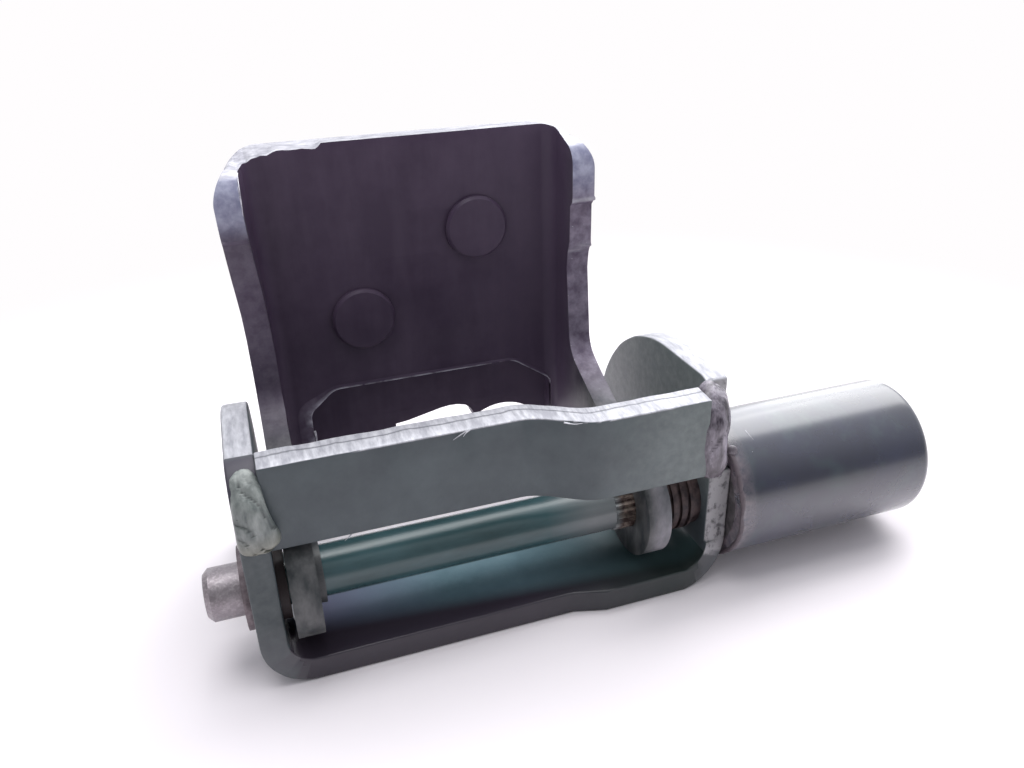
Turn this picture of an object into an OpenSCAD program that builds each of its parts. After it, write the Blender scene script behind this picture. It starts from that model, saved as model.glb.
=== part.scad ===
// Tailgate hinge: a folded bracket, a gooseneck leaf that swings on a rod, and a spring housing.
// X runs along the rod, Y runs from the open front to the back, Z is up from the bracket's underside.
// The origin lies on the underside, below the rod's axis and midway between the cheeks.

/* [Bracket] */
// Width over the two cheeks
bracket_w = 115; // [100:1:140]
// Thickness of the bracket's sheet
sheet_t = 6; // [4:0.5:7]
// Inside radius of the two folds
fold_r = 6; // [4:0.5:6.5]
// Rod axis to the cheeks' front edges
front_reach = 11.5; // [10:0.5:14]
// Rod axis to the back edge of the base
base_back = 10.5; // [9:0.5:11]
// How far the right half of the base's front edge stands forward
base_step = 2.3; // [0:0.1:4]
// Radius of the cheeks' round backs
cheek_back_r = 40; // [34:1:44]
// Radius of the left cheek's front upper corner
cheek_corner_r = 9; // [2:0.5:10]
// How far the right cheek's front edge is cut back behind its weld
notch_d = 5; // [4:0.5:6]
// Height of that cut
notch_h = 23.5; // [20:0.5:25]
// Radius of the relief between each fold and the straight foot behind it
relief_r = 1.5; // [1:0.25:2]

/* [Cross plate] */
// Height of the cross plate
plate_h = 20.3; // [16:0.1:24]
// Thickness of the cross plate
plate_t = 6; // [4:0.5:7]
// How far the plate's left half lies behind the cheeks' front edges
plate_inset = 2.5; // [2:0.1:4]
// How far the plate's right half is joggled forward of its left half
plate_step = 7.5; // [5:0.1:8]
// Where the joggle starts, to the right of the middle
plate_step_x = 4; // [0:0.5:10]
// Length of the joggle along the plate
plate_step_l = 18; // [14:0.5:24]
// How far the plate's right end stops short of the right cheek
plate_short = 2.7; // [1:0.1:3]
// Radius of a weld bead's ripples
bead_r = 4; // [3:0.25:4.5]

/* [Leaf] */
// Thickness of the leaf's sheet
leaf_t = 6; // [4:0.5:7]
// Gap between the left cheek and the leaf
leaf_gap_left = 2.4; // [2:0.1:4]
// Gap between the right cheek and the leaf
leaf_gap_right = 10.7; // [8:0.1:14]
// Rod axis to the leaf's front face
leaf_reach = 49.4; // [46:0.2:54]
// Height of the leaf above the rod axis
leaf_h = 86; // [78:1:100]
// Height of the leaf's lower edge above the rod axis
leaf_low = 0.5; // [0:0.1:3]
// Inside radius of the leaf's folds
leaf_fold_r = 3.5; // [2:0.5:5]
// Depth of the side flanges in front of the leaf's face
flange_d = 11.8; // [9:0.2:12.4]
// Radius of the round end of each arm
eye_r = 13.7; // [12:0.1:14]
// Slope of the arms' upper edge, in degrees
arm_slope = 24.7; // [22:0.1:26]
// Radius inside the gooseneck
neck_r = 9; // [6:0.5:12]
// Height of the arms' upper edge above the rod axis, at the axis
arm_top = 9.4; // [8:0.1:9.6]
// Depth of the pressed recess behind the leaf's face
recess_d = 5; // [2:0.5:5.5]
// Height of the recess above the rod axis
recess_h = 20.7; // [17:0.1:26]
// Width of the leaf's strip at the left of the recess
recess_left = 13; // [12:0.5:16]
// Width of the leaf's strip at the right of the recess
recess_right = 7.2; // [7:0.1:16]
// Width and height of the left corner cut
recess_cut_left = [7, 6];
// Width and height of the right corner cut
recess_cut_right = [11.5, 8];
// Widths of the two scallops in the recess's lower edge
scallop_w = [24, 20];
// Heights of the two scallops
scallop_h = [6.4, 4.1];
// Places of the two scallops, to the right of the leaf's middle
scallop_x = [3.2, 23.9];
// Radius of the leaf's upper corners, seen from the front
leaf_corner_r = 10; // [6:0.5:14]

/* [Studs] */
// Diameter of a stud's flat head
stud_head_d = 16.6; // [13:0.2:18]
// Height of that head
stud_head_t = 1.8; // [1:0.1:3]
// Diameter of a stud
stud_d = 8; // [6:0.5:9]
// Diameter of the stud's shoulder inside the leaf
stud_shoulder_d = 10.5; // [9.5:0.1:12]
// Length of a stud behind the leaf
stud_l = 22; // [14:1:30]
// Distance between the studs, across and up
stud_pitch = [32, 21];
// Distance of the studs' midpoint to the right of the leaf's middle
stud_off = 1.1; // [-3:0.1:3]
// Height of the studs' midpoint above the rod axis
stud_mid = 50.6; // [44:0.2:56]

/* [Rod] */
// Diameter of the rod
rod_d = 12; // [10:0.5:13]
// Length of the bare stub past the left cheek
stub_l = 9.5; // [7:0.5:14]
// Chamfer at the rod's ends
rod_chamfer = 1.2; // [0.5:0.1:2]
// Height of the serrations on the rod
serration_h = 0.35; // [0.2:0.05:0.6]
// Number of serrations
serration_n = 24; // [16:1:32]
// Length of the serrated seat on each side of the right arm's inner face
serration_l = 5; // [3:0.5:8]
// Clearance of the rod in its bushes, on the radius
running = 0.03; // [0.02:0.01:0.08]
// Clearance of pieces that are pressed together, on the radius
pressed = 0.01; // [0.01:0.005:0.03]
// Clearance between faces that turn against each other
face_gap = 0.4; // [0.3:0.1:0.8]

/* [Bushes] */
// Wall of the two pivot bushes
bush_wall = 1.5; // [1:0.1:2]
// Diameter of the left bush's flange
left_flange_d = 19; // [18.5:0.5:24]
// Thickness of the left bush's flange
left_flange_t = 1.5; // [1:0.1:4]
// Thickness of the right bush's flange
right_flange_t = 2; // [1.5:0.1:3]
// Diameter of the ringed spacer
spacer_d = 19; // [16:0.5:22]
// Depth and width of the spacer's rings
ring_d = 0.9; // [0.5:0.1:1.2]
// Number of rings round the spacer
ring_n = 3; // [2:1:4]
// Diameter of the collar beside the left arm
collar_d = 14.4; // [14:0.2:18]
// Thickness of that collar
collar_t = 1.6; // [1.5:0.1:3]

/* [Housing] */
// Outside diameter of the spring housing
housing_d = 36.6; // [34:0.2:38]
// Length of the housing past the right cheek
housing_l = 56.5; // [52:0.5:70]
// Wall of the housing
housing_wall = 3.5; // [2.5:0.1:4]
// Chamfer round the housing's far end
housing_chamfer = 1; // [0.5:0.1:2]
// Leg of the weld round the housing's root
housing_weld = 2.2; // [1.5:0.1:2.5]
// Thickness of the end plug
plug_t = 5; // [3:0.5:8]
// Diameter of the spring's wire
wire_d = 3.5; // [3:0.1:3.7]
// Turns of the spring
turns = 6; // [4:1:6]
// Length of the spring's coil
spring_l = 28; // [27:0.5:30]
// Thickness of the ring that anchors the spring
anchor_t = 4; // [3:0.5:6]
// Thickness of the hub on the rod's end
hub_t = 8; // [5:0.5:10]
// Thickness of the circlip
clip_t = 1.2; // [0.8:0.1:1.6]
// Wall of the circlip
clip_wall = 2; // [1.5:0.1:2.5]

/* [Hidden] */
$fn = 64;
// A small length by which cutting shapes run past the faces that they cut
over = 1;
// Clearance that the arms' eyes keep from the base and from the cross plate
eye_gap = 1.3;
plate_gap = 0.6;
fold_out = fold_r + sheet_t;
half_w = bracket_w / 2;
inner_x = half_w - sheet_t;
rod_r = rod_d / 2;
rod_z = sheet_t + eye_gap + eye_r;
plate_z = rod_z + eye_r + plate_gap;
cheek_h = plate_z + plate_h;
foot_y = base_back + 2 * relief_r;
// Faces of the leaf across the hinge
leaf_x0 = -inner_x + leaf_gap_left;
leaf_x1 = inner_x - leaf_gap_right;
leaf_w = leaf_x1 - leaf_x0;
leaf_x = (leaf_x0 + leaf_x1) / 2;
flange_y = leaf_reach - flange_d;
leaf_back = leaf_reach + leaf_t;
// Stops along the rod, from left to right
rod_x0 = -half_w - stub_l;
anchor_x = half_w + anchor_t;
hub_x = anchor_x + spring_l + face_gap;
clip_x = hub_x + hub_t;
rod_x1 = clip_x + clip_t + rod_chamfer + over;
housing_x1 = half_w + housing_l;
bore_r = rod_r + running;
bush_r = bore_r + bush_wall;
serration_r = rod_r + serration_h;
housing_in_r = housing_d / 2 - housing_wall;
coil_r = housing_in_r - wire_d / 2 - 0.4;
// Largest radius that seats on a cheek's flat inner face, clear of the fold below it
seat_r = rod_z - fold_out - face_gap / 2;

bracket_green = "#4d5758";
leaf_black = "#2b2530";
rod_green = "#2f4a4d";
bare_steel = "#8f8a8c";
bronze = "#8a6f5e";
housing_navy = "#2c2f3c";
bead_grey = "#6f7875";

// Puts a shape drawn in Y and Z on the plane at x and gives it a thickness along X
module across(x, thickness) {
    translate([x, 0, 0]) rotate([90, 0, 90]) linear_extrude(thickness) children();
}

// A cylinder on the rod's axis, from x0 to x1
module on_axis(x0, x1, r) {
    translate([x0, 0, rod_z]) rotate([0, 90, 0]) cylinder(h = x1 - x0, r = r);
}

// A ring on the rod's axis, from x0 to x1
module axis_ring(x0, x1, r_out, r_in) {
    difference() {
        on_axis(x0, x1, r_out);
        on_axis(x0 - over, x1 + over, r_in);
    }
}

// A tray outline: a flat floor of the given width, two round corners and straight sides
module tray(w, h, r) {
    translate([-w / 2 + r, 0]) square([w - 2 * r, h]);
    translate([-w / 2, r]) square([w, h - r]);
    for (side = [-1, 1])
        translate([side * (w / 2 - r), r]) circle(r);
}

// The section of a folded channel, open at the top
module channel(w, h, t, r) {
    difference() {
        tray(w, h, r + t);
        translate([0, t]) tray(w - 2 * t, h, r);
    }
}

// The base's outline from above, with the step in its front edge
module base_plan() {
    step_x0 = plate_step_x + plate_step_l * 2 / 3;
    step_x1 = plate_step_x + plate_step_l * 10 / 9;
    polygon([[-half_w, -front_reach], [step_x0, -front_reach],
             [step_x1, -front_reach - base_step], [half_w - fold_out, -front_reach - base_step],
             [half_w, -front_reach], [half_w, base_back], [-half_w, base_back]]);
}

// A cheek in Y and Z: straight front, flat top, round back and a straight foot behind the fold
module left_cheek() {
    difference() {
        union() {
            translate([-front_reach, fold_out])
                square([front_reach + foot_y, cheek_h - cheek_corner_r - fold_out]);
            translate([cheek_corner_r - front_reach, fold_out])
                square([front_reach + foot_y - cheek_corner_r, cheek_h - fold_out]);
            translate([cheek_corner_r - front_reach, cheek_h - cheek_corner_r]) circle(cheek_corner_r);
            intersection() {
                translate([foot_y, cheek_h - cheek_back_r]) circle(cheek_back_r, $fn = 128);
                translate([foot_y, 0]) square([2 * cheek_back_r, cheek_h]);
            }
        }
        translate([base_back + relief_r, fold_out]) circle(relief_r);
    }
}

// The right cheek: the same with its front edge cut back for the weld
module right_cheek() {
    difference() {
        left_cheek();
        translate([-front_reach - over, cheek_h - notch_h]) square([notch_d + over, notch_h + over]);
    }
}

// The folded sheet: base, two folds and two cheeks, bored for the bushes
module body_bracket() color(bracket_green) {
    difference() {
        union() {
            intersection() {
                translate([0, base_back, 0]) rotate([90, 0, 0])
                    linear_extrude(base_back + front_reach + base_step)
                        channel(bracket_w, fold_out + over, sheet_t, fold_r);
                linear_extrude(fold_out) base_plan();
            }
            across(-half_w, sheet_t) left_cheek();
            across(inner_x, sheet_t) right_cheek();
        }
        on_axis(-half_w - over, half_w + over, bush_r + pressed);
    }
}

// How far the plate's joggle has come forward at x, as a smooth ramp from 0 to 1
function ramp(s) = (1 - cos(180 * s)) / 2;

// The cross plate's outline from above: two straight halves and a smooth joggle between them
module plate_plan() {
    steps = 12;
    left_y = -front_reach + plate_inset;
    end_x = inner_x - plate_short;
    front = [for (i = [0:steps])
        [plate_step_x + plate_step_l * i / steps, left_y - plate_step * ramp(i / steps)]];
    back = [for (i = [steps:-1:0]) front[i] + [0, plate_t]];
    polygon(concat([[-inner_x, left_y]], front, [[end_x, left_y - plate_step]],
                   [[end_x, left_y - plate_step + plate_t]], back, [[-inner_x, left_y + plate_t]]));
}

module cross_plate() color(bracket_green) {
    translate([0, 0, plate_z]) linear_extrude(plate_h) plate_plan();
}

// A row of weld ripples standing along the joint at x and y, cut off flush by both sheets
module bead(x, y) {
    pitch = bead_r * 0.6;
    count = floor((plate_h - 2 * bead_r) / pitch);
    difference() {
        for (i = [0:count])
            translate([x, y, plate_z + bead_r + i * (plate_h - 2 * bead_r) / count]) sphere(bead_r);
        translate([0, 0, plate_z - over]) linear_extrude(plate_h + 2 * over) plate_plan();
        across(-half_w - bead_r, sheet_t + bead_r) left_cheek();
        across(inner_x, sheet_t) right_cheek();
    }
}

// The left bead bridges the cheek's front edge and the plate's face
module left_plate_weld() color(bead_grey) {
    bead(-inner_x, -front_reach + 1);
}

// The right bead bridges the gap between the plate's end and the cut in the cheek's front edge
module right_plate_weld() color(bead_grey) {
    bead(inner_x - plate_short / 2 + 1, -front_reach + notch_d - 3);
}

// Upper edge of an arm at y
function arm_z(y) = arm_top + y * tan(arm_slope);

// The leaf's side view about the rod axis: web and flange, gooseneck, arm and eye
module leaf_side() {
    crown_r = 5;
    crown_y = flange_y - 2.2;
    crown_z = leaf_h - 8.5;
    crown = [for (a = [180:-14:110]) [crown_y + crown_r + crown_r * cos(a), crown_z + crown_r * sin(a)]];
    neck_y = flange_y - neck_r;
    neck_z = arm_z(neck_y) + neck_r / cos(arm_slope);
    under_r = 4;
    under_y = sqrt(pow(eye_r + under_r, 2) - pow(leaf_low - under_r, 2));
    // Front edge of the flange, with its two pressed steps and the hollow between them
    edge = [[flange_y, neck_z], [flange_y + 0.9, neck_z + 9], [flange_y + 1.7, neck_z + 17],
            [flange_y + 1.1, leaf_h - 32], [flange_y - 0.2, leaf_h - 28.5],
            [flange_y - 0.5, leaf_h - 19], [crown_y, leaf_h - 17.4]];
    polygon(concat([[0, leaf_low], [0, arm_top], [neck_y, arm_z(neck_y)], [flange_y, arm_z(flange_y)]],
                   edge, crown, [[leaf_reach, leaf_h], [leaf_back, leaf_h], [leaf_back, leaf_low]]));
    // Fillet inside the gooseneck
    difference() {
        polygon([[neck_y + neck_r * sin(arm_slope), neck_z - neck_r * cos(arm_slope)],
                 [flange_y + 0.01, arm_z(flange_y)], [flange_y + 0.01, neck_z], [neck_y, neck_z]]);
        translate([neck_y, neck_z]) circle(neck_r);
    }
    // Eye, and the fillet between it and the arm's lower edge
    circle(eye_r, $fn = 96);
    difference() {
        polygon([[0, 0], [under_y, leaf_low - under_r], [under_y, leaf_low + 0.01], [0, leaf_low + 0.01]]);
        translate([under_y, leaf_low - under_r]) circle(under_r);
    }
}

// The recess seen from the front, grown by an edge: flat top, two cut corners, open below
module recess_outline(grow) {
    x0 = leaf_x0 + recess_left - grow;
    x1 = leaf_x1 - recess_right + grow;
    top = rod_z + recess_h + grow;
    low = rod_z + leaf_low - (grow > 0 ? 0 : over);
    polygon([[x0, low], [x0, top - recess_cut_left[1]], [x0 + recess_cut_left[0], top],
             [x1 - recess_cut_right[0], top], [x1, top - recess_cut_right[1]], [x1, low]]);
}

// The leaf's outline from the front, with round upper corners
module leaf_front() {
    translate([leaf_x, rod_z + leaf_h]) rotate(180) tray(leaf_w, leaf_h + eye_r + over, leaf_corner_r);
}

// The left scallop: a torn ramp that rises to the right and rounds off, drawn by shares of its size
module ramp_scallop() {
    edge = [[0, 0], [0.02, 0.55], [0.18, 0.62], [0.58, 0.95], [0.7, 1], [0.8, 0.985], [0.9, 0.88],
            [0.965, 0.66], [1, 0.4], [1, 0]];
    translate([leaf_x + scallop_x[0] - scallop_w[0] / 2, rod_z + leaf_low])
        polygon([for (p = edge) [p[0] * scallop_w[0], p[1] > 0 ? p[1] * scallop_h[0] : -over]]);
}

// The right scallop: a circle that cuts the recess's lower edge to the stated width and height
module round_scallop() {
    r = (pow(scallop_w[1] / 2, 2) + pow(scallop_h[1], 2)) / (2 * scallop_h[1]);
    translate([leaf_x + scallop_x[1], rod_z + leaf_low + scallop_h[1] - r]) circle(r, $fn = 96);
}

// Gives an outline drawn in X and Z a depth along Y, from y0 back to y1
module deep(y0, y1) {
    translate([0, y1, 0]) rotate([90, 0, 0]) linear_extrude(y1 - y0) children();
}

// The leaf: a channel folded round its back, cut to the side view, with the recess pressed in
module gate_leaf() color(leaf_black) {
    difference() {
        union() {
            intersection() {
                translate([leaf_x, leaf_back, 0]) rotate([0, 0, 180])
                    linear_extrude(rod_z + leaf_h + over)
                        channel(leaf_w, leaf_back + eye_r + over, leaf_t, leaf_fold_r);
                across(leaf_x0 - over, leaf_w + 2 * over) translate([0, rod_z]) leaf_side();
                deep(-eye_r - over, leaf_back + over) leaf_front();
            }
            deep(leaf_reach + over, leaf_back + recess_d) recess_outline(leaf_t - over);
        }
        deep(leaf_reach - leaf_fold_r, leaf_reach + recess_d) recess_outline(0);
        deep(leaf_reach, leaf_back + recess_d + over) ramp_scallop();
        deep(leaf_reach, leaf_back + recess_d + over) round_scallop();
        on_axis(leaf_x0 - over, leaf_x, rod_r + pressed);
        on_axis(leaf_x, leaf_x1 + over, serration_r + pressed);
        for (side = [-1, 1])
            stud_at(side) translate([0, 0, -leaf_t - over])
                cylinder(h = leaf_t + 2 * over, d = stud_shoulder_d + 2 * pressed);
    }
}

// Places a stud on the leaf's face, with its axis out of the face
module stud_at(side) {
    x = leaf_x + stud_off + side * stud_pitch[0] / 2;
    translate([x, leaf_reach, rod_z + stud_mid + side * stud_pitch[1] / 2]) rotate([90, 0, 0]) children();
}

// Two weld studs: flat heads in front, shanks through the leaf and out behind it
module leaf_studs() color(leaf_black) {
    for (side = [-1, 1])
        stud_at(side) rotate_extrude()
            polygon([[0, -leaf_t - stud_l], [stud_d / 2 - 1, -leaf_t - stud_l],
                     [stud_d / 2, 1 - leaf_t - stud_l],
                     [stud_d / 2, -leaf_t], [stud_shoulder_d / 2, -leaf_t], [stud_shoulder_d / 2, 0],
                     [stud_head_d / 2, 0], [stud_head_d / 2, stud_head_t * 0.6],
                     [stud_head_d / 2 - 0.7, stud_head_t], [0, stud_head_t]]);
}

// The serrations' outline: tips on the outer radius, roots on the rod
module serration_outline() {
    polygon([for (i = [0:2 * serration_n - 1])
        let (r = i % 2 == 0 ? serration_r : rod_r - serration_h, a = 180 * i / serration_n)
        [r * cos(a), r * sin(a)]]);
}

// The rod: bare stub, painted length, serrated seat and the end that carries the spring's hub
module torsion_rod() color(rod_green) {
    seat_x = leaf_x1 - leaf_t;
    translate([rod_x0, 0, rod_z]) rotate([0, 90, 0])
        rotate_extrude()
            polygon([[0, 0], [rod_r - rod_chamfer, 0], [rod_r, rod_chamfer],
                     [rod_r, seat_x - serration_l - rod_x0],
                     [rod_r - serration_h, seat_x - serration_l - rod_x0],
                     [rod_r - serration_h, leaf_x1 - rod_x0], [rod_r, leaf_x1 - rod_x0],
                     [rod_r, clip_x - rod_x0], [rod_r - clip_wall / 2, clip_x - rod_x0],
                     [rod_r - clip_wall / 2, clip_x + clip_t - rod_x0], [rod_r, clip_x + clip_t - rod_x0],
                     [rod_r, rod_x1 - rod_chamfer - rod_x0],
                     [rod_r - rod_chamfer, rod_x1 - rod_x0], [0, rod_x1 - rod_x0]]);
    translate([seat_x - serration_l, 0, rod_z]) rotate([0, 90, 0])
        linear_extrude(leaf_t + serration_l) serration_outline();
}

// Flanged bush in the left cheek, flange outside
module left_pivot_bush() color(bronze) {
    axis_ring(-half_w, -inner_x, bush_r, bore_r);
    axis_ring(-half_w - left_flange_t, -half_w, left_flange_d / 2, bore_r);
}

// Thrust washer that lies on the left cheek's inner face
module left_thrust_washer() color(leaf_black) {
    axis_ring(-inner_x, leaf_x0 - face_gap, seat_r, bore_r);
}

// Collar on the rod beside the left arm
module left_collar() color(bare_steel) {
    axis_ring(leaf_x0 + leaf_t, leaf_x0 + leaf_t + collar_t, collar_d / 2, rod_r + pressed);
}

// Spacer with ring grooves between the right arm and the right bush
module right_spacer() color(bronze) {
    x1 = inner_x - right_flange_t - face_gap;
    pitch = (x1 - leaf_x1) / (ring_n + 0.5);
    difference() {
        axis_ring(leaf_x1, x1, spacer_d / 2, rod_r + pressed);
        for (i = [1:ring_n])
            axis_ring(leaf_x1 + i * pitch - ring_d / 2, leaf_x1 + i * pitch + ring_d / 2,
                      spacer_d / 2 + over, spacer_d / 2 - ring_d);
    }
}

// Flanged bush in the right cheek, flange inside
module right_pivot_bush() color(bronze) {
    axis_ring(inner_x, half_w, bush_r, bore_r);
    axis_ring(inner_x - right_flange_t, inner_x, seat_r, bore_r);
}

// Housing tube, chamfered at its far end
module housing_tube() color(housing_navy) {
    r = housing_d / 2;
    translate([half_w, 0, rod_z]) rotate([0, 90, 0]) rotate_extrude($fn = 128)
        polygon([[housing_in_r, 0], [r, 0], [r, housing_l - housing_chamfer],
                 [r - housing_chamfer, housing_l], [housing_in_r, housing_l]]);
}

// Fillet weld round the housing's root
module housing_weld_ring() color(bead_grey) {
    r = housing_d / 2;
    translate([half_w, 0, rod_z]) rotate([0, 90, 0]) rotate_extrude($fn = 128)
        polygon([[r, 0], [r + housing_weld, 0], [r + housing_weld * 0.9, housing_weld * 0.4],
                 [r + housing_weld * 0.4, housing_weld * 0.9], [r, housing_weld]]);
}

// Plug pressed into the housing's far end
module housing_end_plug() color(housing_navy) {
    on_axis(housing_x1 - housing_chamfer - plug_t, housing_x1 - housing_chamfer, housing_in_r - pressed);
}

// Ring on the cheek's outer face that holds the spring's fixed end
module spring_anchor() color(bare_steel) {
    axis_ring(half_w, anchor_x, housing_in_r - pressed, bush_r);
}

// Centre of the spring's wire after a share s of its turns
function coil_point(s) = let (a = 360 * turns * s)
    [anchor_x + wire_d / 2 + (spring_l - wire_d) * s, coil_r * cos(a), rod_z + coil_r * sin(a)];

// The coil: an eight-sided wire swept along a helix
module torsion_spring() color(bare_steel) {
    rings = 20 * turns;
    sides = 8;
    points = [for (i = [0:rings], j = [0:sides - 1])
        let (s = i / rings, a = 360 * turns * s, b = 360 * j / sides, c = coil_point(s))
        c + wire_d / 2 * [sin(b), cos(b) * cos(a), cos(b) * sin(a)]];
    walls = [for (i = [0:rings - 1], j = [0:sides - 1])
        [i * sides + j, i * sides + (j + 1) % sides, (i + 1) * sides + (j + 1) % sides, (i + 1) * sides + j]];
    start = [[for (j = [sides - 1:-1:0]) j]];
    end = [[for (j = [0:sides - 1]) rings * sides + j]];
    polyhedron(points, concat(walls, start, end));
}

// Hub on the rod's end that winds the spring
module spring_hub() color(bare_steel) {
    axis_ring(hub_x, clip_x, coil_r + wire_d / 2 - face_gap, rod_r + pressed);
}

// Circlip in the rod's groove, open at the top
module hub_circlip() color(bare_steel) {
    difference() {
        axis_ring(clip_x, clip_x + clip_t, rod_r + clip_wall, rod_r - clip_wall / 2 + pressed);
        translate([clip_x - over, -clip_wall, rod_z]) cube([clip_t + 2 * over, 2 * clip_wall, 2 * rod_r]);
    }
}

body_bracket();
cross_plate();
left_plate_weld();
right_plate_weld();
gate_leaf();
leaf_studs();
torsion_rod();
left_pivot_bush();
left_thrust_washer();
left_collar();
right_spacer();
right_pivot_bush();
housing_tube();
housing_weld_ring();
housing_end_plug();
spring_anchor();
torsion_spring();
spring_hub();
hub_circlip();
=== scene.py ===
"""Looks of the tailgate hinge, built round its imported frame.

Lengths are in millimetres and turned to metres where a mesh is made. X runs along the rod, Y from the open
front to the leaf, Z up from the bracket's underside.
"""
import math

import bmesh
import bpy
import numpy as np
from mathutils import Matrix


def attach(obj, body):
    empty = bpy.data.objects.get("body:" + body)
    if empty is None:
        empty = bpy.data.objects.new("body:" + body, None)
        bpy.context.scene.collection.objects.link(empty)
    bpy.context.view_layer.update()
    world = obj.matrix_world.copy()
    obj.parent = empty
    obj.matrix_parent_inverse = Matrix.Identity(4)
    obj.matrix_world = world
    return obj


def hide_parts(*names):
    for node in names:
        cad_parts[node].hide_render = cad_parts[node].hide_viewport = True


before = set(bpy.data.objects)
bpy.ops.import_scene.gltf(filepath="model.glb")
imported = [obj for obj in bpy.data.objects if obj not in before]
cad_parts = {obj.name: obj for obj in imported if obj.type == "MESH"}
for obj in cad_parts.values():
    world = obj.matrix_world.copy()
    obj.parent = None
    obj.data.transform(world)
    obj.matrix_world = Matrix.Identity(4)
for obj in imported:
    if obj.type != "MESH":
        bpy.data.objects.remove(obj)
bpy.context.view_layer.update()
MM = 0.001

# Sizes repeated from the part's source
HALF_W, SHEET = 57.5, 6.0
INNER_X = HALF_W - SHEET
ROD_Z = 21.0
PLATE_LOW, PLATE_T, PLATE_Y, PLATE_STEP, STEP_X, STEP_L = 35.3, 6.0, -9.0, 7.5, 4.0, 18.0
LEAF_X0, LEAF_X1, LEAF_Y, LEAF_TOP = -49.1, 40.8, 49.4, 107.0
POCKET = [(-36.1, 22), (-36.1, 35.7), (-29.1, 41.7), (22.1, 41.7), (33.6, 33.7), (33.6, 22)]
HOUSING_R, HOUSING_WALL, HOUSING_X = 18.3, 3.5, 114.0

# Sizes of the finish on the real pieces
SHEET_ROUND, PLATE_ROUND, RIM_ROUND = 0.7, 0.4, 2.4
FLANGE_LEAN, RIDGE_H, BURR_H, PLATE_DRAWN_IN = 1.9, 0.5, 0.5, 1.5


# Shapes

def wave(p, size, seed):
    """A smooth uneven value between about -1 and 1 at each point: the mean of nine sines whose directions
    and phases come from a seeded generator and whose wavelengths lie round the given size."""
    rng = np.random.default_rng(seed)
    way = rng.normal(size=(9, 3))
    way *= (2 * np.pi / size) * rng.uniform(0.6, 1.6, (9, 1)) / np.linalg.norm(way, axis=1, keepdims=True)
    return np.sin(np.asarray(p) @ way.T + rng.uniform(0, 2 * np.pi, 9)).mean(-1) * 1.8


def ease(x, low, high):
    """A share that goes smoothly from 0 at low to 1 at high."""
    t = np.clip((np.asarray(x, float) - low) / (high - low), 0, 1)
    return t * t * (3 - 2 * t)


def plate_front(x):
    """Y of the cross plate's front face at x: a half-cosine step forward between its two straight halves."""
    s = np.clip((np.asarray(x, float) - STEP_X) / STEP_L, 0, 1)
    return PLATE_Y - PLATE_STEP * (1 - np.cos(np.pi * s)) / 2


def mesh_piece(name, points, faces, body, material, shares=None, sharp=0.7):
    """Puts points and faces into a mesh object that rides on a body. shares holds named values between 0 and 1
    for each point, which the material reads as attributes."""
    mesh = bpy.data.meshes.new(name)
    mesh.from_pydata((np.asarray(points) * MM).tolist(), [], [list(map(int, f)) for f in faces])
    mesh.validate()
    for key, values in (shares or {}).items():
        share = mesh.attributes.new(key, "FLOAT", "POINT")
        share.data.foreach_set("value", np.asarray(values, np.float32).ravel())
    mesh.polygons.foreach_set("use_smooth", np.ones(len(mesh.polygons), bool))
    mesh.set_sharp_from_angle(angle=sharp)
    mesh.materials.append(material)
    obj = bpy.data.objects.new(name, mesh)
    bpy.context.scene.collection.objects.link(obj)
    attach(obj, body)
    return obj


def tube_faces(rings, sides):
    """Faces of a closed tube whose points run ring by ring, with a flat cap at each end."""
    i, j = np.meshgrid(np.arange(rings - 1), np.arange(sides), indexing="ij")
    k = (j + 1) % sides
    quads = np.stack([i * sides + j, i * sides + k, (i + 1) * sides + k, (i + 1) * sides + j], -1)
    start = np.arange(sides)[::-1]
    end = np.arange(sides) + (rings - 1) * sides
    return [*quads.reshape(-1, 4).tolist(), start.tolist(), end.tolist()]


def along(knots, rings, blur=0):
    """A row of values spread evenly over a path and drawn as straight runs between them, then averaged over
    blur neighbours on each side."""
    knots = np.asarray(knots, float)
    knots = knots[:, None] if knots.ndim == 1 else knots
    t, at = np.linspace(0, 1, rings), np.linspace(0, 1, len(knots))
    rows = np.stack([np.interp(t, at, column) for column in knots.T], -1)
    if blur:
        mean = np.ones(2 * blur + 1) / (2 * blur + 1)
        rows = np.stack([np.convolve(np.pad(c, blur, mode="edge"), mean, "valid") for c in rows.T], -1)
    return rows


def run_frame(path, out, rings, blur):
    """Points along a path with their outward and sideways directions, square to the path."""
    p, o = along(path, rings, blur), along(out, rings, blur)
    step = np.gradient(p, axis=0)
    step /= np.linalg.norm(step, axis=1, keepdims=True)
    o -= (o * step).sum(1, keepdims=True) * step
    o /= np.linalg.norm(o, axis=1, keepdims=True)
    return p, o, np.cross(step, o)


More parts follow.
